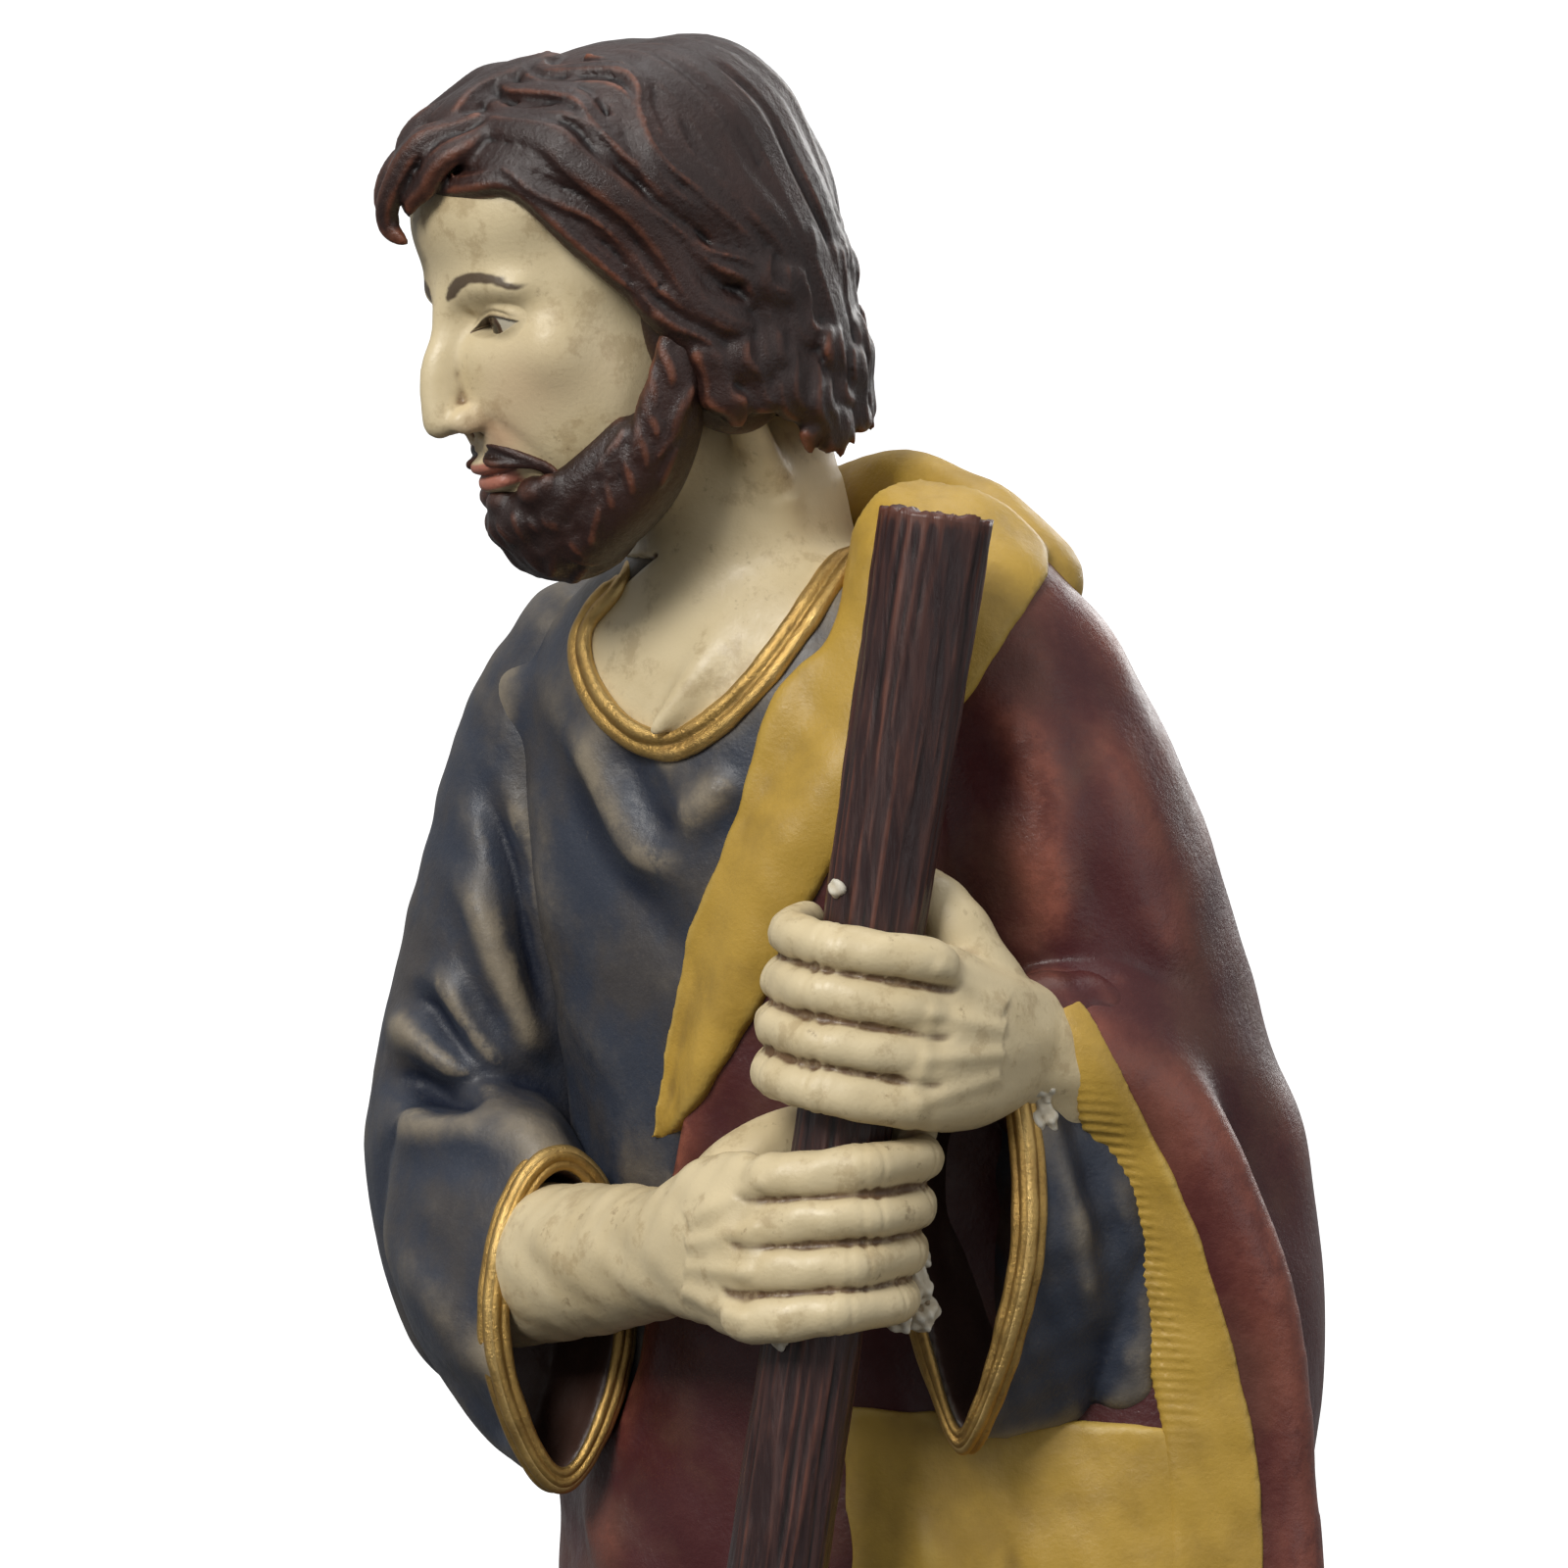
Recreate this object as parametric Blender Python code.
"""A cast and painted figure of a bearded man in robe and mantle, holding a staff, on a low base.

There are two solids: the casting, which is the figure with its base, and the staff that passes
through both fists. The free form is laid out on a grid of parts, as a sculptor sets out a figure by
its own height, and is modelled as clay: masses are put together, kneaded into one skin, and creased.
"""

import math

import bmesh
import bpy
import numpy as np
from mathutils import Matrix, Vector
from mathutils.bvhtree import BVHTree

# Driving dimensions, in metres
FIGURE_HEIGHT = 0.582
BASE_LENGTH = 0.178
BASE_WIDTH = 0.160
BASE_THICKNESS = 0.018
BASE_CORNER_RADIUS = 0.045
BASE_EDGE_ROUNDING = 0.004
STAFF_LENGTH = 0.501
STAFF_HEAD_DIAMETER = 0.0206
STAFF_GRIP_DIAMETER = 0.0176
STAFF_FOOT_DIAMETER = 0.0190
STAFF_GROOVE_DEPTH = 0.0005
STAFF_CLEARANCE = 0.0003

# The figure is set out on 582 parts from its soles to the crown of its hair
PARTS_IN_HEIGHT = 582.0
PART = FIGURE_HEIGHT / PARTS_IN_HEIGHT

# Fineness of the clay, in parts, and of the finished casting
COARSE_CLAY = 1.7
FINE_CLAY = 1.15
CASTING_CLAY = 1.5
CLOTH_TRIANGLES = 4700
CARVED_TRIANGLES = 3700

# Colours, as linear red, green and blue
ROBE_BLUE = (0.060, 0.075, 0.110)
STAFF_BROWN = (0.050, 0.025, 0.020)


# Places on the figure, in parts: x to the right of a viewer, y to the back, z up from the base

# The trunk and skirts: centre x, centre y, z, half-breadth, half-depth, and turn to the viewer's left
TRUNK = [
    (4, 8, -6, 62, 53, 20),
    (4, 8, 40, 57, 48, 20),
    (5, 8, 120, 55, 45, 22),
    (7, 9, 200, 57, 46, 24),
    (9, 9, 270, 62, 48, 26),
    (9, 8, 315, 64, 48, 28),
    (3, 4, 357, 57, 43, 30),
    (-5, -2, 400, 53, 39, 33),
    (-11, -7, 437, 54, 36, 35),
    (-16, -10, 462, 51, 31, 35),
    (-19, -12, 479, 40, 24, 35),
    (-20, -13, 490, 24, 18, 35),
]

# Limbs and hanging cloth: x, y, z, half-width, half-thickness
RIGHT_UPPER_ARM = [
    (-50, 12, 472, 14, 15),
    (-57, 18, 455, 17, 19),
    (-62, 22, 425, 20, 23),
    (-66, 26, 400, 22, 25),
    (-68, 28, 378, 23, 26),
    (-66, 26, 356, 20, 22),
    (-62, 20, 344, 15, 16),
]
RIGHT_FOREARM = [
    (-64, -2, 361, 15, 14),
    (-56, -16, 362, 14.5, 13.5),
    (-44, -38, 364, 13, 12),
    (-34, -56, 366, 11.5, 10),
]
LEFT_FOREARM = [
    (50, -38, 386, 13, 12),
    (38, -52, 395, 12, 11),
    (28, -63, 402, 11, 9.5),
]
MANTLE_LEFT_SIDE = [
    (15, -33, 482, 15, 15),
    (20, -36, 472, 18, 17),
    (27, -34, 458, 21, 20),
    (33, -32, 437, 25, 23),
    (40, -27, 412, 26, 25),
    (46, -22, 390, 27, 27),
    (51, -18, 368, 28, 30),
    (54, -16, 350, 27, 32),
    (54, -15, 330, 25, 33),
    (52, -14, 308, 23, 33),
    (50, -12, 250, 22, 33),
    (48, -10, 180, 22, 32),
    (46, -8, 110, 21, 30),
    (45, -6, 48, 19, 28),
]
MANTLE_OVER_FOREARM = [
    (57, -16, 382, 22, 20),
    (47, -34, 395, 20, 19),
    (38, -49, 401, 16, 15.5),
]
MANTLE_FRONT_PLEAT = [
    (38, -54, 404, 10, 6),
    (50, -52, 388, 13, 6),
    (58, -47, 366, 15, 6),
    (63, -42, 340, 16, 6),
    (65, -38, 300, 16, 6),
    (64, -36, 230, 15, 6),
    (61, -32, 160, 14, 6),
    (57, -28, 100, 13, 6),
    (54, -24, 62, 11, 6),
]
MANTLE_WRIST_ROLL = [
    (48, -45, 404, 12, 9),
    (40, -52, 408, 10, 8),
    (33, -58, 409, 8, 6.5),
    (28, -61, 409, 6.5, 5.5),
]


# Curves and distances

def smooth_path(knots, count):
    """A smooth curve through rows of numbers, as evenly spaced between the knots."""
    knots = np.asarray(knots, float)
    first = 2 * knots[0] - knots[1]
    last = 2 * knots[-1] - knots[-2]
    padded = np.vstack([first, knots, last])
    place = np.linspace(0, len(knots) - 1, count)
    index = np.minimum(place.astype(int), len(knots) - 2)
    f = (place - index)[:, None]
    before, start, end, after = (padded[index + k] for k in range(4))
    return 0.5 * (
        2 * start
        + (end - before) * f
        + (2 * before - 5 * start + 4 * end - after) * f ** 2
        + (3 * start - before - 3 * end + after) * f ** 3
    )


def unit(rows):
    return rows / np.maximum(np.linalg.norm(rows, axis=-1, keepdims=True), 1e-9)


def distance_to_path(points, path):
    """Each point's distance to a polyline, and the share of the line where it is nearest."""
    best = np.full(len(points), 1e9)
    share = np.zeros(len(points))
    steps = len(path) - 1
    for i in range(steps):
        run = path[i + 1] - path[i]
        t = np.clip((points - path[i]) @ run / max(run @ run, 1e-9), 0, 1)
        away = np.linalg.norm(points - path[i] - t[:, None] * run, axis=1)
        nearer = away < best
        best[nearer] = away[nearer]
        share[nearer] = (i + t[nearer]) / steps
    return best, share


def smoothstep(low, high, value):
    t = np.clip((value - low) / (high - low), 0, 1)
    return t * t * (3 - 2 * t)


# Clay: masses are added to a bmesh, in parts, and kneaded into one skin

def add_skin(clay, rings):
    """A closed skin over rings of equally many points."""
    rows = [[clay.verts.new(point) for point in ring] for ring in rings]
    count = len(rows[0])
    for low, high in zip(rows, rows[1:]):
        for i in range(count):
            j = (i + 1) % count
            clay.faces.new((low[i], low[j], high[j], high[i]))
    clay.faces.new(rows[0][::-1])
    clay.faces.new(rows[-1])


def add_tube(clay, knots, across=(1, 0, 0), sides=16, steps=0):
    """A round-ended tube through knots of place, half-width along across, and half-thickness."""
    rows = smooth_path(knots, steps or 5 * len(knots))
    centres, width, thick = rows[:, :3], rows[:, 3], rows[:, 4]
    along = unit(np.gradient(centres, axis=0))
    wide = unit(np.asarray(across, float) - (along @ np.asarray(across, float))[:, None] * along)
    deep = np.cross(along, wide)
    angle = np.linspace(0, 2 * math.pi, sides, endpoint=False)[:, None]

    def ring(i, shrink, shift):
        centre = centres[i] + along[i] * shift
        return centre + shrink * (
            np.cos(angle) * wide[i] * width[i] + np.sin(angle) * deep[i] * thick[i])

    rings = []
    for tilt in (75, 50, 25):
        turn = math.radians(tilt)
        rings.append(ring(0, math.cos(turn), -math.sin(turn) * min(width[0], thick[0])))
    rings += [ring(i, 1, 0) for i in range(len(rows))]
    for tilt in (25, 50, 75):
        turn = math.radians(tilt)
        rings.append(ring(-1, math.cos(turn), math.sin(turn) * min(width[-1], thick[-1])))
    add_skin(clay, rings)


def add_ball(clay, centre, radii, turn=0.0):
    """An ellipsoid, turned about the vertical."""
    place = (Matrix.Translation(Vector(centre)) @ Matrix.Rotation(math.radians(turn), 4, "Z")
             @ Matrix.Diagonal((*radii, 1)))
    bmesh.ops.create_uvsphere(clay, u_segments=24, v_segments=16, radius=1, matrix=place)


def add_cup(clay, stations, forward, wall, depth, point=0.35):
    """A hanging sleeve along stations of centre, half-width and half-height, hollow at its last end."""
    forward = np.asarray(forward, float) / np.linalg.norm(forward)
    level = unit(np.cross(forward, (0, 0, 1)))
    angle = np.linspace(0, 2 * math.pi, 32, endpoint=False)
    taper = 1 - point * np.clip(-np.sin(angle), 0, 1) ** 1.5

    def ring(row, shrink, shift):
        half_width, half_height = row[3] - shrink, row[4] - shrink
        return (row[:3] + forward * shift
                + (np.cos(angle) * taper * half_width)[:, None] * level
                + (np.sin(angle) * half_height)[:, None] * np.array((0, 0, 1.0)))

    rows = smooth_path(stations, 12)
    rings = [ring(row, 0, 0) for row in rows]
    rings += [ring(rows[-1], wall, 0), ring(rows[-1], wall + 0.5, -depth * 0.5)]
    rings += [ring(rows[-1], wall + 4, -depth)]
    add_skin(clay, rings)


def knead(clay, fineness, relax):
    """One smooth skin round all the masses of a clay, as places and faces."""
    mesh = bpy.data.meshes.new("clay")
    clay.to_mesh(mesh)
    clay.free()
    lump = bpy.data.objects.new("clay", mesh)
    bpy.context.scene.collection.objects.link(lump)
    remesh = lump.modifiers.new("remesh", "REMESH")
    remesh.mode = "VOXEL"
    remesh.voxel_size = fineness
    if relax:
        smooth = lump.modifiers.new("smooth", "SMOOTH")
        smooth.factor = 0.5
        smooth.iterations = relax
    kneaded = bpy.data.meshes.new_from_object(
        lump.evaluated_get(bpy.context.evaluated_depsgraph_get()))
    bpy.data.objects.remove(lump)
    bpy.data.meshes.remove(mesh)
    return kneaded


def places_of(mesh):
    places = np.empty(len(mesh.vertices) * 3, np.float32)
    mesh.vertices.foreach_get("co", places)
    return places.reshape(-1, 3).astype(float)


def normals_of(mesh):
    normals = np.empty(len(mesh.vertices) * 3, np.float32)
    mesh.vertex_normals.foreach_get("vector", normals)
    return normals.reshape(-1, 3).astype(float)


def set_places(mesh, places):
    mesh.vertices.foreach_set("co", places.astype(np.float32).ravel())
    mesh.update()


def fold_profile(away, width):
    """A ridge with a shallow valley on each side."""
    near = (away / width) ** 2
    return np.exp(-near) - 0.30 * np.exp(-near / 3.5)


def crease(mesh, folds, facing):
    """Raises ridges and presses valleys that are drawn on the front or the back, as x and z."""
    places, normals = places_of(mesh), normals_of(mesh)
    toward = smoothstep(0.0, 0.45, normals[:, 1] * facing)
    drawn = places[:, [0, 2]]
    lift = np.zeros(len(places))
    for path, width, height in folds:
        away, share = distance_to_path(drawn, smooth_path(path, 4 * len(path)))
        fade = smoothstep(0, 0.2, share) * smoothstep(1.0, 0.8, share)
        lift += height * fold_profile(away, width) * fade * toward
    set_places(mesh, places + normals * lift[:, None])


def lathe_rings(rows, sides, swell):
    """Oval rings through rows of centre, height, half-breadth, half-depth and turn."""
    rings = []
    for x, y, z, breadth, depth, turn in smooth_path(rows, 6 * len(rows)):
        yaw = math.radians(turn)
        left = np.array((math.cos(yaw), -math.sin(yaw), 0))
        front = np.array((-math.sin(yaw), -math.cos(yaw), 0))
        angle = np.linspace(0, 2 * math.pi, sides, endpoint=False)
        out = 1 + swell(angle, z) / breadth
        rings.append(np.array((x, y, z)) + (np.cos(angle) * out * breadth)[:, None] * left
                     + (np.sin(angle) * out * depth)[:, None] * front)
    return rings


def skirt_folds(angle, z):
    """Upright folds of the skirts, that deepen toward the hem and run out at the hips."""
    depth = 3.4 * smoothstep(290, 30, z)
    wander = 0.0035 * z
    return depth * (0.6 * np.sin(9 * angle + wander * 3)
                    + 0.4 * np.sin(14 * angle + 1.7 - wander * 4)
                    + 0.3 * np.sin(5 * angle + 0.6))


# The mantle: where its front and back edges cross the body, as x at each height, and its hem

MANTLE_FRONT_EDGE = [
    (-75, 236), (-66, 262), (-56, 282), (-48, 303), (-44, 327), (-38.5, 344), (-35, 368),
    (-30, 392), (-24, 416), (-18, 437), (-5, 457), (-1, 472), (2, 494), (4, 600),
]
MANTLE_BACK_EDGE = [
    (-110, 330), (-100, 352), (-62, 377), (-50, 402), (-38, 432), (-25, 462), (-8, 494), (-2, 600),
]
MANTLE_THICKNESS = 3.0


def edge_at(edge, z):
    return np.interp(z, [row[1] for row in edge], [row[0] for row in edge])


def inside_mantle(places):
    """How far each place lies inside the mantle's outline, in parts, and below zero outside it."""
    x, y, z = places.T
    behind = smoothstep(-12, 26, y)
    side = x - edge_at(MANTLE_FRONT_EDGE, z) * (1 - behind) - edge_at(MANTLE_BACK_EDGE, z) * behind
    hem = 70 - 0.45 * x - 30 * behind + 3 * np.sin(0.11 * x)
    return np.minimum(side * 0.8, z - hem)


# Folds, each as its line of x and z, its half-width and its height, which is below zero in a valley

TRUNK_FRONT_FOLDS = [
    ([(-60, 467), (-55, 450), (-45, 434), (-34, 421), (-31, 412)], 6, -2.6),
    ([(-49, 462), (-48, 450), (-41, 436), (-32, 430)], 4, 2.6),
    ([(-43, 459), (-39, 446), (-32, 436)], 4.5, -2.2),
    ([(-22, 451), (-27, 445), (-34, 439)], 4, 2.2),
    ([(-64, 465), (-60, 440), (-53, 412), (-46, 392)], 7, 2.4),
    ([(-46, 410), (-41, 388), (-40, 366)], 6, 1.8),
    ([(40, 300), (10, 268), (-25, 250), (-58, 246)], 6, 4.5),
    ([(46, 272), (12, 230), (-20, 206), (-52, 196)], 7, 5.0),
    ([(50, 236), (20, 186), (-8, 158), (-40, 142)], 7, 4.5),
    ([(52, 196), (30, 146), (4, 112), (-24, 98)], 6, 4.0),
    ([(44, 286), (8, 250), (-24, 230), (-56, 222)], 6, -3.0),
    ([(-46, 330), (-40, 300), (-44, 268)], 6, 2.5),
]
TRUNK_BACK_FOLDS = [
    ([(30, 470), (-10, 430), (-40, 380), (-60, 330)], 9, 3.0),
    ([(44, 440), (10, 380), (-20, 320), (-50, 270)], 9, 3.5),
    ([(56, 380), (30, 310), (0, 250), (-36, 200)], 9, 3.5),
    ([(60, 310), (40, 240), (14, 180), (-16, 130)], 9, 3.5),
]
ARM_FRONT_FOLDS = [
    ([(-71, 455), (-66, 441), (-62, 428), (-59, 414), (-56, 398)], 3, -2.4),
    ([(-87, 407), (-76, 399), (-65, 391)], 4, 2.8),
    ([(-78, 419), (-73, 408), (-68, 400), (-62, 392)], 3.5, 2.6),
    ([(-72, 437), (-68, 422), (-62, 407), (-57, 395)], 4, 2.6),
    ([(-83, 413), (-74, 402), (-64, 392)], 3, -2.0),
    ([(-88, 397), (-76, 391.5), (-66, 390.5)], 3.5, -3.4),
    ([(-90, 383), (-77, 386), (-62, 385.5), (-48, 382)], 5, 2.8),
    ([(-88, 366), (-74, 352), (-66, 338)], 6, 1.8),
    ([(-80, 345), (-70, 335), (-62, 328)], 5, -1.6),
]
MANTLE_SIDE_FOLDS = [
    ([(22, 468), (30, 452), (33, 430), (30, 412)], 5, 2.4),
    ([(38, 466), (45, 446), (52, 424), (60, 402)], 6, 2.0),
    ([(30, 416), (48, 405), (64, 382), (80, 352)], 4.5, -4.5),
    ([(38, 412), (50, 400), (63, 382), (72, 362), (78, 342)], 4, 3.0),
    ([(72, 400), (76, 372), (78, 344)], 5, 2.0),
    ([(74, 330), (72, 270), (66, 200), (62, 130)], 6, 3.0),
]


# Laid pieces: a sheet, a strip or a roll that lies on a surface, found by looking along y

def surface_tree(*meshes):
    points = []
    faces = []
    for mesh in meshes:
        start = len(points)
        points += [tuple(v.co) for v in mesh.vertices]
        faces += [[start + i for i in face.vertices] for face in mesh.polygons]
    return BVHTree.FromPolygons(points, faces)


def front_at(tree, x, z, reach=-140.0):
    """The place and outward direction of a surface as seen from the front at x and z."""
    place, normal, _, _ = tree.ray_cast(Vector((x, reach, z)), Vector((0, 1, 0)))
    if place is None:
        place, normal, _, _ = tree.find_nearest(Vector((x, -40, z)))
    if normal.y > 0:
        normal = -normal
    return np.array(place), np.array(normal)


def lay_sheet(clay, tree, left, right, thickness, rows=30, columns=9, sink=2.0, roll=0.6):
    """A closed sheet between two lines of x and z on a surface, with a rolled left edge."""
    lefts, rights = smooth_path(left, rows), smooth_path(right, rows)
    rings = []
    for a, b in zip(lefts, rights):
        upper, lower = [], []
        for k in range(columns):
            share = k / (columns - 1)
            x, z = a + (b - a) * share
            place, normal = front_at(tree, x, z)
            lift = thickness * (1 + roll * math.exp(-(share / 0.22) ** 2)) * (1 - 0.5 * share ** 6)
            upper.append(place + normal * lift)
            lower.append(place - normal * sink)
        rings.append(relax_ring(upper) + relax_ring(lower)[::-1])
    add_skin(clay, rings)


def relax_ring(row):
    """A row of places with its jumps in depth evened out."""
    places = np.array(row)
    for _ in range(3):
        places[1:-1] = 0.5 * places[1:-1] + 0.25 * (places[:-2] + places[2:])
    return list(places)


def lay_roll(clay, tree, line, width, thickness, lift=0.4, count=40):
    """A half-round strip along a line of x and z on a surface."""
    knots = []
    for x, z in smooth_path(line, count):
        place, normal = front_at(tree, x, z)
        knots.append((*(place + normal * lift), width, thickness))
    knots = np.array(knots)
    for _ in range(4):
        knots[1:-1, :3] = 0.5 * knots[1:-1, :3] + 0.25 * (knots[:-2, :3] + knots[2:, :3])
    add_tube(clay, knots, across=(0.3, 0.0, -1.0), sides=10, steps=count)


LAPEL_OUTER_EDGE = [
    (3, 508), (-1, 496), (-2, 482), (-6, 472), (-14, 466), (-19, 453), (-24, 436), (-29, 421),
    (-32.5, 403), (-35.5, 385),
]
LAPEL_INNER_EDGE = [
    (30, 499), (34, 494), (32, 484), (27, 476), (20, 465), (8, 450), (-7, 431), (-16, 412),
    (-26, 395), (-33.5, 384),
]
LAPEL_THICKNESS = 3.4
MANTLE_COLLAR = [
    (31, -32, 484, 9, 9),
    (22, -26, 493, 9, 8),
    (9, -13, 499, 9, 6.5),
    (0, -2, 497, 10, 6),
    (-10, 7, 491, 11, 6),
    (-24, 13, 482, 11, 6),
    (-42, 15, 470, 9, 5),
]
NECKLINE = [
    (-33, 491), (-41, 485), (-48.5, 478), (-50, 471), (-47, 463), (-41, 457), (-33, 454.5),
    (-24, 460), (-15, 470), (-7, 482), (-2, 490), (1, 500),
]
NECK = [
    (-21, -14, 452, 22, 20),
    (-21, -15, 470, 21, 19),
    (-21, -17, 490, 19, 17.5),
    (-25, -20, 515, 18, 17),
]


def trunk_clay():
    clay = bmesh.new()
    add_skin(clay, lathe_rings(TRUNK, 96, skirt_folds))
    add_ball(clay, (-50, 12, 462), (18, 17, 15))
    add_tube(clay, MANTLE_LEFT_SIDE, across=(1, 0, 0), sides=24)
    add_tube(clay, MANTLE_OVER_FOREARM, across=(0.7, -0.6, 0), sides=20)
    return clay


def make_trunk():
    """The robe's body with the mantle round it, in one skin."""
    mesh = knead(trunk_clay(), COARSE_CLAY, 12)
    crease(mesh, TRUNK_FRONT_FOLDS + MANTLE_SIDE_FOLDS, -1)
    crease(mesh, TRUNK_BACK_FOLDS, 1)
    places, normals = places_of(mesh), normals_of(mesh)
    lift = MANTLE_THICKNESS * smoothstep(-1.2, 1.2, inside_mantle(places))
    set_places(mesh, places + normals * lift[:, None])
    return mesh


RIGHT_SLEEVE = [
    (-70, 24, 370, 19, 30),
    (-68, 12, 366, 20, 32),
    (-62, -4, 359, 18, 33),
    (-54, -19, 352, 14, 30),
]
LEFT_SLEEVE = [
    (50, -30, 374, 18, 34),
    (36, -46, 373, 17, 38),
    (18, -60, 372, 15, 40),
]
RIGHT_CUFF_FACING = (0.455, -0.89, 0)
LEFT_CUFF_FACING = (-0.62, -0.78, 0)
CUFF_WALL = 3.4
CUFF_DEPTH = 15.0


def make_right_arm():
    """His right upper arm and hanging sleeve, hollow at the cuff."""
    clay = bmesh.new()
    add_tube(clay, RIGHT_UPPER_ARM, across=(1, 0, 0), sides=24)
    add_cup(clay, RIGHT_SLEEVE, RIGHT_CUFF_FACING, CUFF_WALL, CUFF_DEPTH, point=0.3)
    mesh = knead(clay, FINE_CLAY, 6)
    crease(mesh, ARM_FRONT_FOLDS, -1)
    return mesh


def make_left_sleeve():
    clay = bmesh.new()
    add_cup(clay, LEFT_SLEEVE, LEFT_CUFF_FACING, CUFF_WALL, CUFF_DEPTH, point=0.55)
    return knead(clay, FINE_CLAY, 4)


# The head, in units of its own height, with its face toward -y before it is turned and bowed

HEAD_HEIGHT = 84.0
HEAD_CENTRE = (-47, -34, 537)
HEAD_TURN = -65.0
HEAD_BOW = 19.0


def head_matrix():
    return (Matrix.Translation(Vector(HEAD_CENTRE))
            @ Matrix.Rotation(math.radians(HEAD_TURN), 4, "Z")
            @ Matrix.Rotation(math.radians(HEAD_BOW), 4, "X")
            @ Matrix.Scale(HEAD_HEIGHT, 4))


def on_head(place):
    return tuple(head_matrix() @ Vector(place))


def add_head_ball(clay, centre, radii):
    place = head_matrix() @ Matrix.Translation(Vector(centre)) @ Matrix.Diagonal((*radii, 1))
    bmesh.ops.create_uvsphere(clay, u_segments=24, v_segments=16, radius=1, matrix=place)


def add_head_tube(clay, knots, across=(0, 1, 0), sides=10, steps=0):
    """A tube whose knots are given in units of the head."""
    rows = [(*on_head(knot[:3]), knot[3] * HEAD_HEIGHT, knot[4] * HEAD_HEIGHT) for knot in knots]
    turned = head_matrix().to_3x3() @ Vector(across)
    add_tube(clay, rows, across=turned.normalized(), sides=sides, steps=steps)


def both_sides(place):
    return [(side * place[0], *place[1:]) for side in (-1, 1)]


def make_head():
    """Skull, face and neck, by the usual thirds of a head."""
    clay = bmesh.new()
    add_head_ball(clay, (0, 0.07, 0.13), (0.335, 0.42, 0.37))
    add_head_ball(clay, (0, -0.12, -0.13), (0.27, 0.27, 0.36))
    add_head_ball(clay, (0, -0.15, 0.20), (0.27, 0.20, 0.20))
    add_head_ball(clay, (0, -0.24, -0.40), (0.13, 0.11, 0.10))
    add_head_tube(clay, [(-0.20, -0.27, 0.06, 0.04, 0.04), (0, -0.325, 0.075, 0.045, 0.04),
                         (0.20, -0.27, 0.06, 0.04, 0.04)], across=(0, 0, 1))
    add_head_tube(clay, [(0, -0.345, 0.07, 0.040, 0.04), (0, -0.405, -0.06, 0.045, 0.05),
                         (0, -0.445, -0.16, 0.055, 0.052)], across=(1, 0, 0))
    for place in both_sides((0.05, -0.40, -0.175)):
        add_head_ball(clay, place, (0.035, 0.045, 0.035))
    for place in both_sides((0.19, -0.22, -0.07)):
        add_head_ball(clay, place, (0.09, 0.10, 0.09))
    add_head_ball(clay, (0, -0.35, -0.295), (0.09, 0.055, 0.028))
    add_head_ball(clay, (0, -0.345, -0.335), (0.08, 0.05, 0.028))
    add_tube(clay, NECK, across=(1, 0, 0), sides=20)
    mesh = knead(clay, FINE_CLAY, 5)
    press_eyes(mesh)
    return mesh


def press_eyes(mesh):
    """Sockets pressed into the face, with the lids and the ball of each eye in them."""
    places = places_of(mesh)
    local = np.array([tuple(head_matrix().inverted() @ Vector(p)) for p in places])
    push = np.zeros(len(places))
    for side in (-1, 1):
        across = (local[:, 0] - side * 0.13) / 0.085
        up = (local[:, 2] + 0.005) / 0.055
        socket = np.exp(-(across ** 2 + up ** 2)) * (local[:, 1] < -0.15)
        ball = np.exp(-((local[:, 0] - side * 0.13) ** 2 + local[:, 2] ** 2) / 0.045 ** 2)
        push += 0.045 * socket - 0.030 * ball * (local[:, 1] < -0.15)
    inward = np.array(tuple(head_matrix().to_3x3().normalized() @ Vector((0, 1, 0))))
    set_places(mesh, places + (push * HEAD_HEIGHT)[:, None] * inward)


HAIR_LOCKS_A_SIDE = 10
BACK_LOCKS = 6
BEARD_LOCKS_A_SIDE = 7


def lock_path(side, share, wave=0.0):
    """A lock combed back from the hairline over the ear to the nape, by its share down the side."""
    t = 1.2 * share
    return [
        (side * (0.05 + 0.25 * t ** 0.8), -0.28 + 0.22 * t, 0.38 - 0.34 * t, 0.026, 0.034),
        (side * (0.15 + 0.20 * t), -0.10 + 0.14 * t, 0.495 - 0.44 * t + wave, 0.034, 0.060),
        (side * (0.25 + 0.12 * t), 0.18 - 0.06 * t * t, 0.40 - 0.46 * t - wave, 0.037, 0.066),
        (side * (0.27 + 0.10 * t), 0.38 - 0.24 * t, 0.14 - 0.38 * t + wave, 0.036, 0.062),
        (side * (0.23 + 0.11 * t), 0.42 - 0.24 * t, -0.17 - 0.20 * t - wave, 0.036, 0.056),
        (side * (0.22 + 0.13 * t), 0.46 - 0.24 * t, -0.38 - 0.06 * t, 0.028, 0.034),
    ]


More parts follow.
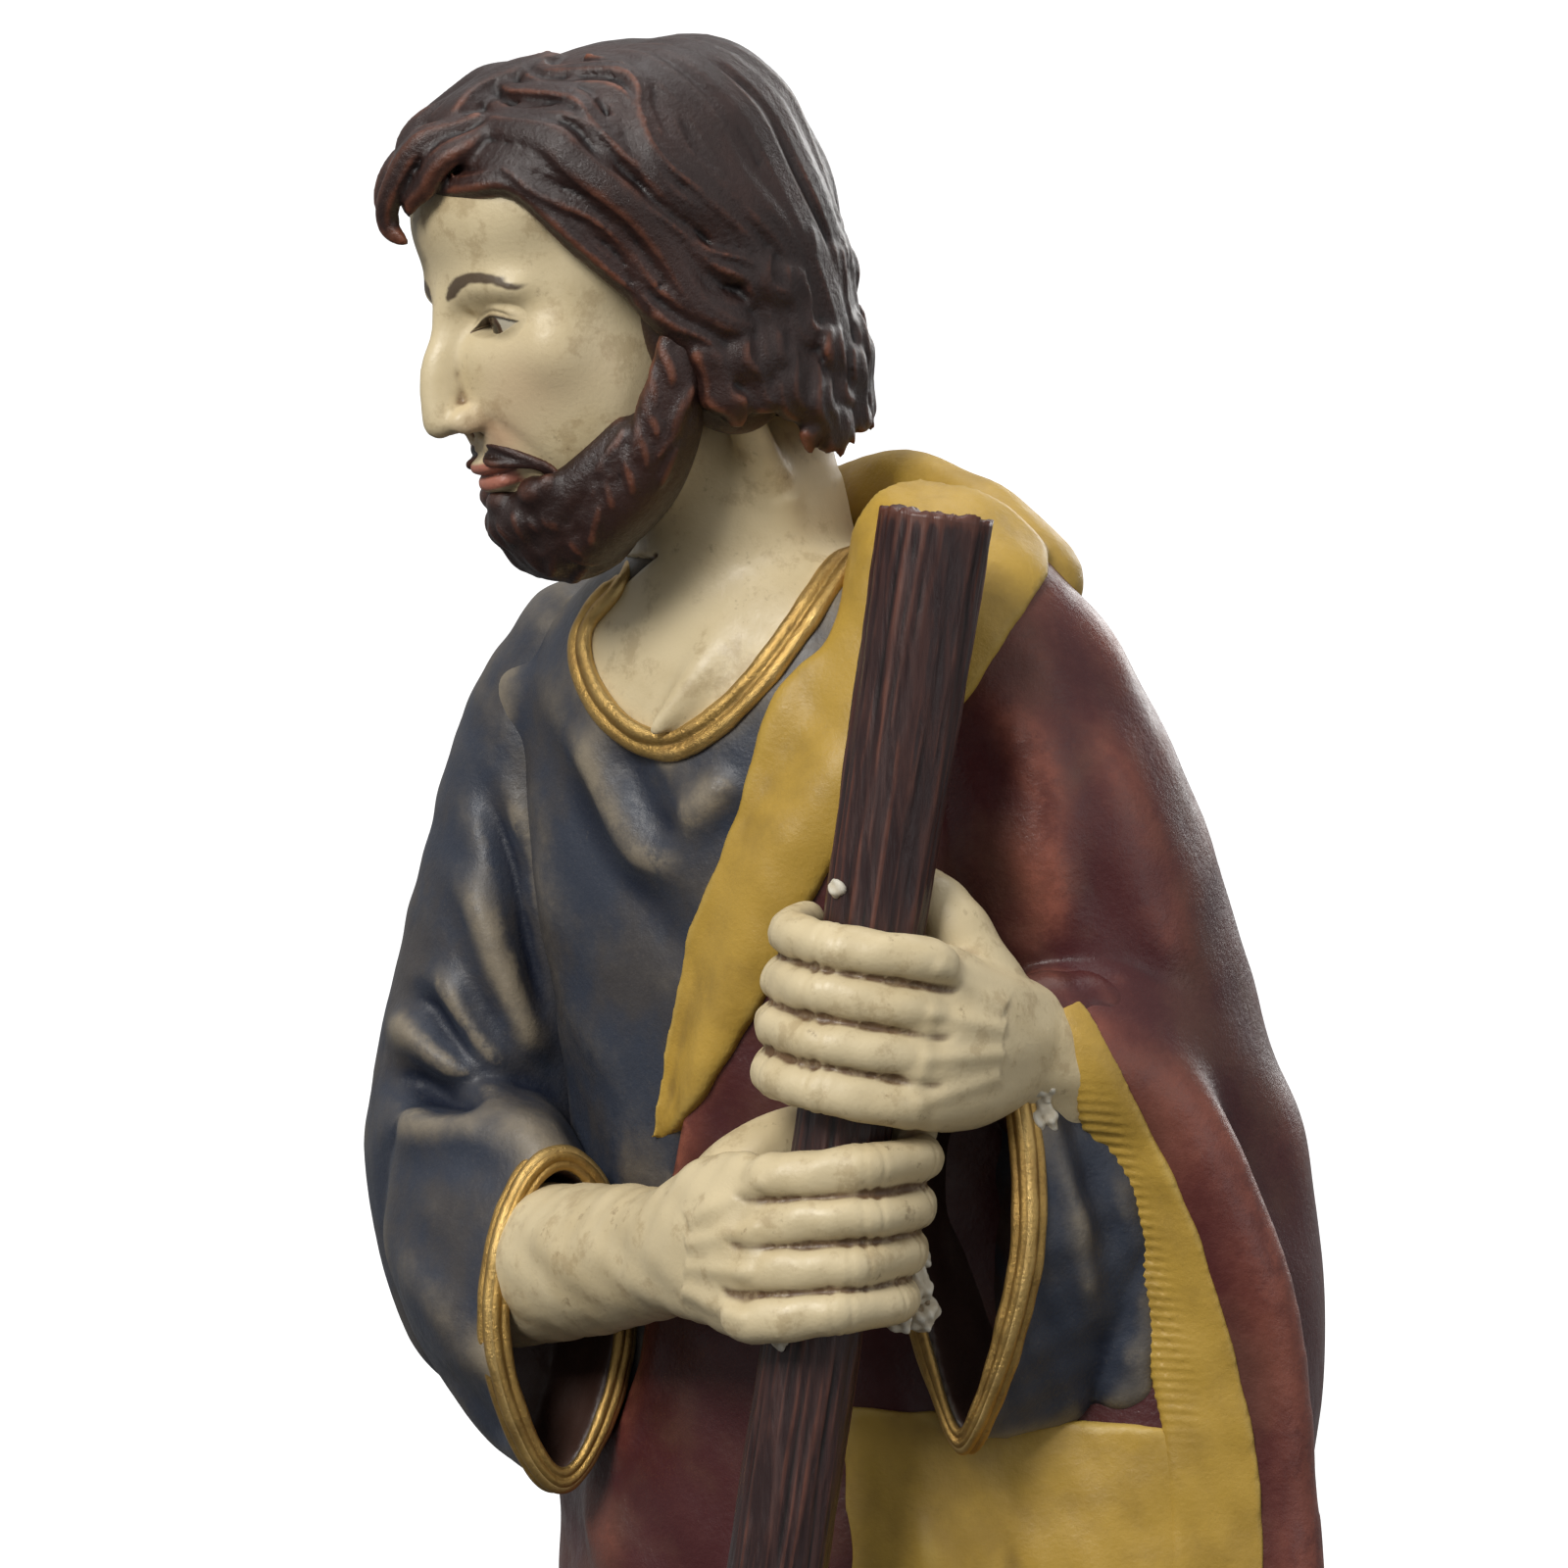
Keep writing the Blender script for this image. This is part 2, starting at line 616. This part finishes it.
def make_hair():
    clay = bmesh.new()
    add_head_ball(clay, (0, 0.11, 0.155), (0.345, 0.41, 0.345))
    add_head_ball(clay, (0, 0.28, -0.12), (0.29, 0.22, 0.32))
    for place in both_sides((0.27, 0.12, -0.14)):
        add_head_ball(clay, place, (0.10, 0.19, 0.26))
    for side in (-1, 1):
        for i in range(HAIR_LOCKS_A_SIDE):
            share = i / (HAIR_LOCKS_A_SIDE - 1)
            add_head_tube(clay, lock_path(side, share, 0.018 * math.sin(2.4 * i)),
                          across=(0, 0.6, 0.8), sides=10)
    for i in range(BACK_LOCKS):
        x = -0.24 + 0.48 * i / (BACK_LOCKS - 1)
        behind = 0.10 + 0.42 * math.sqrt(1 - (x / 0.36) ** 2)
        wave = 0.03 * math.sin(2.1 * i)
        add_head_tube(clay, [(x * 0.5, behind - 0.12, 0.34, 0.05, 0.035),
                             (x + wave, behind, 0.06, 0.055, 0.04),
                             (x * 1.1 - wave, behind - 0.04, -0.20, 0.05, 0.035),
                             (x * 1.1 + wave, behind - 0.01, -0.41, 0.03, 0.02)],
                      across=(1, 0, 0))
    add_head_tube(clay, [(0.10, -0.27, 0.42, 0.04, 0.03), (0.03, -0.37, 0.36, 0.035, 0.028),
                         (-0.03, -0.385, 0.27, 0.028, 0.022), (0.02, -0.37, 0.21, 0.018, 0.014)],
                  across=(1, 0, 0))
    return knead(clay, FINE_CLAY, 1)


def make_beard():
    clay = bmesh.new()
    add_head_ball(clay, (0, -0.21, -0.46), (0.16, 0.16, 0.13))
    for side in (-1, 1):
        add_head_tube(clay, [(side * 0.275, 0.02, 0.0, 0.05, 0.04),
                             (side * 0.27, -0.02, -0.18, 0.075, 0.06),
                             (side * 0.21, -0.10, -0.36, 0.10, 0.07),
                             (side * 0.10, -0.20, -0.47, 0.11, 0.08)], across=(0, 1, 0.3))
        for i in range(BEARD_LOCKS_A_SIDE):
            t = i / (BEARD_LOCKS_A_SIDE - 1)
            x, y, z = side * (0.03 + 0.21 * t), -0.36 + 0.26 * t, -0.42 + 0.10 * t
            add_head_tube(clay, [(x, y, z, 0.030, 0.024),
                                 (x * 1.02, y + 0.01, z - 0.10, 0.032, 0.026),
                                 (x * 0.80, y + 0.07, z - 0.20, 0.020, 0.016)], across=(1, 0, 0))
        add_head_tube(clay, [(side * 0.015, -0.405, -0.245, 0.022, 0.022),
                             (side * 0.08, -0.385, -0.275, 0.028, 0.024),
                             (side * 0.145, -0.315, -0.35, 0.024, 0.022),
                             (side * 0.17, -0.26, -0.42, 0.018, 0.018)], across=(0, 0, 1))
    return knead(clay, FINE_CLAY, 2)


# The staff, and the fists round it, in parts from the staff's own line and size

STAFF_LINE_PLACE = np.array((-6.2, -74.0, 369.0))
STAFF_LINE_RUN = np.array((0.150, -0.030, 1.0))


def staff_centre(z):
    return STAFF_LINE_PLACE + STAFF_LINE_RUN * (z - STAFF_LINE_PLACE[2])


def staff_radius(share):
    """The staff's radius in metres, by the share of its length from the foot."""
    grip_share = 0.78
    foot, grip, head = (d / 2 for d in (STAFF_FOOT_DIAMETER, STAFF_GRIP_DIAMETER,
                                        STAFF_HEAD_DIAMETER))
    below = foot + (grip - foot) * smoothstep(0.35, grip_share, np.minimum(share, grip_share))
    above = (head - grip) * smoothstep(grip_share, 1.0, np.maximum(share, grip_share))
    return below + above


def grip_reach(finger):
    """How far a finger's middle lies from the staff's line, in parts."""
    return (STAFF_GRIP_DIAMETER / 2 + STAFF_GROOVE_DEPTH + STAFF_CLEARANCE) / PART + finger


FINGER_RADIUS = 4.25
FINGER_PITCH = 8.2


def finger_knots(middle, start, end, rise, bulge):
    """A finger bent round the staff from the knuckle to the tip, by its angles from the front."""
    knots = []
    for k in range(9):
        t = k / 8
        turn = math.radians(start + (end - start) * t)
        z = middle + rise * t
        joint = math.exp(-((t - 0.42) / 0.10) ** 2) + math.exp(-((t - 0.74) / 0.10) ** 2)
        radius = FINGER_RADIUS * (1.04 - 0.16 * t)
        reach = grip_reach(FINGER_RADIUS) + 1.6 * (1 - t) ** 2 + bulge * joint
        x, y, _ = staff_centre(z)
        knots.append((x + math.sin(turn) * reach, y - math.cos(turn) * reach, z,
                      radius * (1 + 0.05 * joint), radius * (1 + 0.03 * joint)))
    return knots


def make_fist(middle, start, end, rise, slope, wrist, thumb):
    """Four fingers, a palm and a thumb that close round the staff."""
    clay = bmesh.new()
    for i in range(4):
        z = middle + (1.5 - i) * FINGER_PITCH
        shorter = (0.0, 0.04, 0.0, -0.10)[i]
        tip = end + (end - start) * shorter
        add_tube(clay, finger_knots(z, start, tip, rise, 0.8), across=(0, 0, 1), sides=14)
    turn = math.radians(start)
    reach = grip_reach(FINGER_RADIUS) + 1.0
    x, y, _ = staff_centre(middle)
    knuckles = np.array((x + math.sin(turn) * reach, y - math.cos(turn) * reach, middle))
    root = np.array(wrist)
    halfway = (knuckles + root) / 2 + np.array((0, -1.5, slope))
    add_tube(clay, [(*root, 11, 9.5), (*(root * 0.7 + halfway * 0.3), 12, 9.5),
                    (*halfway, 15, 8.5), (*(halfway * 0.35 + knuckles * 0.65), 16.5, 7),
                    (*knuckles, 15.5, 5)], across=(0, 0, 1), sides=20)
    add_tube(clay, thumb, across=(0, 0, 1), sides=12)
    return knead(clay, FINE_CLAY, 2)


RIGHT_WRIST = (-34, -57, 366)
RIGHT_THUMB = [
    (-28, -64, 372, 8, 8), (-19, -64, 382, 7, 6.5), (-9, -61, 387, 5.4, 5.4), (3, -62, 388, 5, 5),
    (9, -66, 388, 4.2, 4.2),
]
LEFT_WRIST = (28, -62, 403)
LEFT_THUMB = [
    (23, -66, 408, 8, 8), (18, -68, 419, 6.5, 6.5), (14, -68, 427, 5, 5), (6, -62, 431, 4.5, 4.5),
]


def make_hands():
    """Both forearms and fists: his right one below and his left one above it."""
    right = make_fist(368, -48, 112, 3.8, 1.5, RIGHT_WRIST, RIGHT_THUMB)
    left = make_fist(405, 42, -122, 7.0, -1.0, LEFT_WRIST, LEFT_THUMB)
    arms = bmesh.new()
    add_tube(arms, RIGHT_FOREARM, across=(0, 0, 1), sides=20)
    add_tube(arms, LEFT_FOREARM, across=(0, 0, 1), sides=20)
    return [right, left, knead(arms, FINE_CLAY, 1)]


FEET = [(-18, -18, -24), (22, -30, -14)]
TOES = 5


def make_feet():
    """The front of two bare feet below the hem."""
    clay = bmesh.new()
    for x, y, turn in FEET:
        yaw = math.radians(turn)
        ahead = np.array((math.sin(yaw), -math.cos(yaw)))
        aside = np.array((math.cos(yaw), math.sin(yaw)))

        def spot(forward, sideways):
            return ahead * forward + aside * sideways + (x, y)

        add_tube(clay, [(*spot(-6, 0), 9, 11, 11), (*spot(12, 0), 8, 12, 8.5),
                        (*spot(26, 0), 4.5, 12.5, 5.5)], across=(*aside, 0), sides=16)
        for i in range(TOES):
            sideways = 9.6 - 4.8 * i
            if x > 0:
                sideways = -sideways
            size = (3.6, 2.8, 2.6, 2.4, 2.2)[i]
            length = 36 - 1.3 * i
            add_tube(clay, [(*spot(26, sideways), 3.6, size, size),
                            (*spot(length - 4, sideways * 1.04), 3.4, size, size * 1.05),
                            (*spot(length, sideways * 1.04), 2.6, size, size * 0.9)],
                     across=(*aside, 0), sides=10)
    return knead(clay, FINE_CLAY, 1)


def make_trimmings(trunk, arm, head):
    """The mantle's lapel, collar, front pleat and roll over the wrist, and the neckline's band."""
    tree = surface_tree(trunk, arm)
    clay = bmesh.new()
    lay_sheet(clay, tree, LAPEL_OUTER_EDGE, LAPEL_INNER_EDGE, LAPEL_THICKNESS)
    add_tube(clay, MANTLE_COLLAR, across=(0, 0, 1), sides=14)
    add_tube(clay, MANTLE_FRONT_PLEAT, across=(1, -0.35, 0), sides=16)
    add_tube(clay, MANTLE_WRIST_ROLL, across=(0.6, -0.5, 0), sides=16)
    lay_roll(clay, surface_tree(trunk, arm, head), NECKLINE, 2.6, 1.5)
    return knead(clay, FINE_CLAY, 1)


# The casting: everything put together, scaled to its real size, stood on its base

def at(place):
    """A place on the grid of parts, in metres above the floor."""
    return (place[0] * PART, place[1] * PART, BASE_THICKNESS + place[2] * PART)


def new_object(name, mesh, material):
    mesh.name = name
    body = bpy.data.objects.new(name, mesh)
    bpy.context.scene.collection.objects.link(body)
    mesh.materials.clear()
    mesh.materials.append(material)
    return body


def new_material(name, colour, roughness):
    material = bpy.data.materials.new(name)
    material.use_nodes = True
    shader = material.node_tree.nodes["Principled BSDF"]
    shader.inputs["Base Color"].default_value = (*colour, 1)
    shader.inputs["Roughness"].default_value = roughness
    shader.inputs["Metallic"].default_value = 0
    return material


def joined(meshes):
    """One bmesh with every mesh in it."""
    whole = bmesh.new()
    for mesh in meshes:
        whole.from_mesh(mesh)
        bpy.data.meshes.remove(mesh)
    return whole


def make_base():
    """The low base: a slab with round corners and rounded upper and lower edges."""
    block = bmesh.new()
    bmesh.ops.create_cube(block, size=1, matrix=Matrix.Translation((0, 0, BASE_THICKNESS / 2))
                          @ Matrix.Diagonal((BASE_LENGTH, BASE_WIDTH, BASE_THICKNESS, 1)))
    upright = [edge for edge in block.edges
               if abs(edge.verts[0].co.z - edge.verts[1].co.z) > BASE_THICKNESS / 2]
    bmesh.ops.bevel(block, geom=upright, offset=BASE_CORNER_RADIUS, segments=8,
                    profile=0.5, affect="EDGES")
    upper = [edge for edge in block.edges
             if min(vert.co.z for vert in edge.verts) > BASE_THICKNESS * 0.99]
    bmesh.ops.bevel(block, geom=upper, offset=BASE_EDGE_ROUNDING, segments=3,
                    profile=0.5, affect="EDGES")
    mesh = bpy.data.meshes.new("base")
    block.to_mesh(mesh)
    block.free()
    return mesh


def make_staff_mesh(grown, sides, stations, foot_gap):
    """The staff, or the room that it needs when grown by a clearance."""
    foot = Vector(at(staff_centre(0.0)))
    head = Vector(at(staff_centre(PARTS_IN_HEIGHT)))
    along = (head - foot).normalized()
    turn = along.to_track_quat("Z", "Y")
    staff = bmesh.new()
    rings = []
    for i in range(stations):
        share = i / (stations - 1)
        radius = float(staff_radius(share))
        ring = []
        for k in range(sides):
            angle = 2 * math.pi * k / sides
            wander = math.sin(3 * angle + 5 * share) + 0.6 * math.sin(7 * angle - 9 * share)
            r = radius + grown + (0 if grown else STAFF_GROOVE_DEPTH * 0.6 * wander)
            ring.append(turn @ Vector((r * math.cos(angle), r * math.sin(angle), 0)))
        rings.append([foot + along * (STAFF_LENGTH * share) + point for point in ring])
    if grown:
        rings = [[point - along * 0.02 for point in rings[0]], *rings,
                 [point + along * 0.02 for point in rings[-1]]]
    else:
        for point in rings[0]:
            point.z = BASE_THICKNESS + foot_gap
        for k, point in enumerate(rings[-1]):
            point += along * (0.0012 * math.sin(2 * math.pi * k / sides + 0.8))
    add_skin(staff, rings)
    mesh = bpy.data.meshes.new("staff")
    staff.to_mesh(mesh)
    staff.free()
    return mesh


def make_cutter(mesh):
    cutter = bpy.data.objects.new("room_for_staff", mesh)
    bpy.context.scene.collection.objects.link(cutter)
    cutter.hide_render = True
    cutter.display_type = "WIRE"
    return cutter


def add_boolean(body, operation, tool):
    modifier = body.modifiers.new(operation.lower(), "BOOLEAN")
    modifier.operation = operation
    modifier.object = tool
    modifier.solver = "EXACT"


def make_figure(material):
    trunk = make_trunk()
    arm = make_right_arm()
    sleeve = make_left_sleeve()
    head = make_head()
    trimmings = make_trimmings(trunk, arm, head)
    pieces = [trunk, arm, sleeve, head, trimmings, make_hair(), make_beard(), make_feet()]
    casting = knead(joined(pieces + make_hands()), CASTING_CLAY, 1)
    carved = is_carved(places_of(casting))
    casting.transform(Matrix.Translation((0, 0, BASE_THICKNESS)) @ Matrix.Scale(PART, 4))
    figure = new_object("figure", casting, material)
    group = figure.vertex_groups.new(name="head and hands")
    group.add(np.flatnonzero(carved).tolist(), 1.0, "REPLACE")
    triangles = 2 * len(casting.polygons)
    carved_triangles = triangles * carved.mean()
    thinned = carved_triangles + CLOTH_TRIANGLES
    add_decimate(figure, "thin the cloth", thinned / triangles, True)
    add_decimate(figure, "thin the carving", (CARVED_TRIANGLES + CLOTH_TRIANGLES) / thinned, False)
    return figure


def is_carved(places):
    """Marks the head and the fists, whose relief is finer than the cloth's."""
    round_head = np.linalg.norm(places - HEAD_CENTRE, axis=1) < 0.68 * HEAD_HEIGHT
    from_staff = np.linalg.norm((places - staff_centre(places[:, 2:]))[:, :2], axis=1)
    fists = (from_staff < 24) & (np.abs(places[:, 2] - 388) < 50)
    return round_head | fists


def add_decimate(body, name, ratio, cloth):
    decimate = body.modifiers.new(name, "DECIMATE")
    decimate.ratio = ratio
    decimate.use_collapse_triangulate = True
    decimate.vertex_group = "head and hands"
    decimate.invert_vertex_group = cloth


def main():
    for old in list(bpy.data.objects):
        bpy.data.objects.remove(old)
    paint = new_material("painted resin", ROBE_BLUE, 0.45)
    wood = new_material("staff paint", STAFF_BROWN, 0.5)
    figure = make_figure(paint)
    room = STAFF_CLEARANCE + STAFF_GROOVE_DEPTH
    add_boolean(figure, "DIFFERENCE", make_cutter(make_staff_mesh(room, 28, 12, 0)))
    base = make_cutter(make_base())
    base.name = "base_slab"
    add_boolean(figure, "UNION", base)
    new_object("staff", make_staff_mesh(0, 14, 20, STAFF_CLEARANCE), wood)


main()
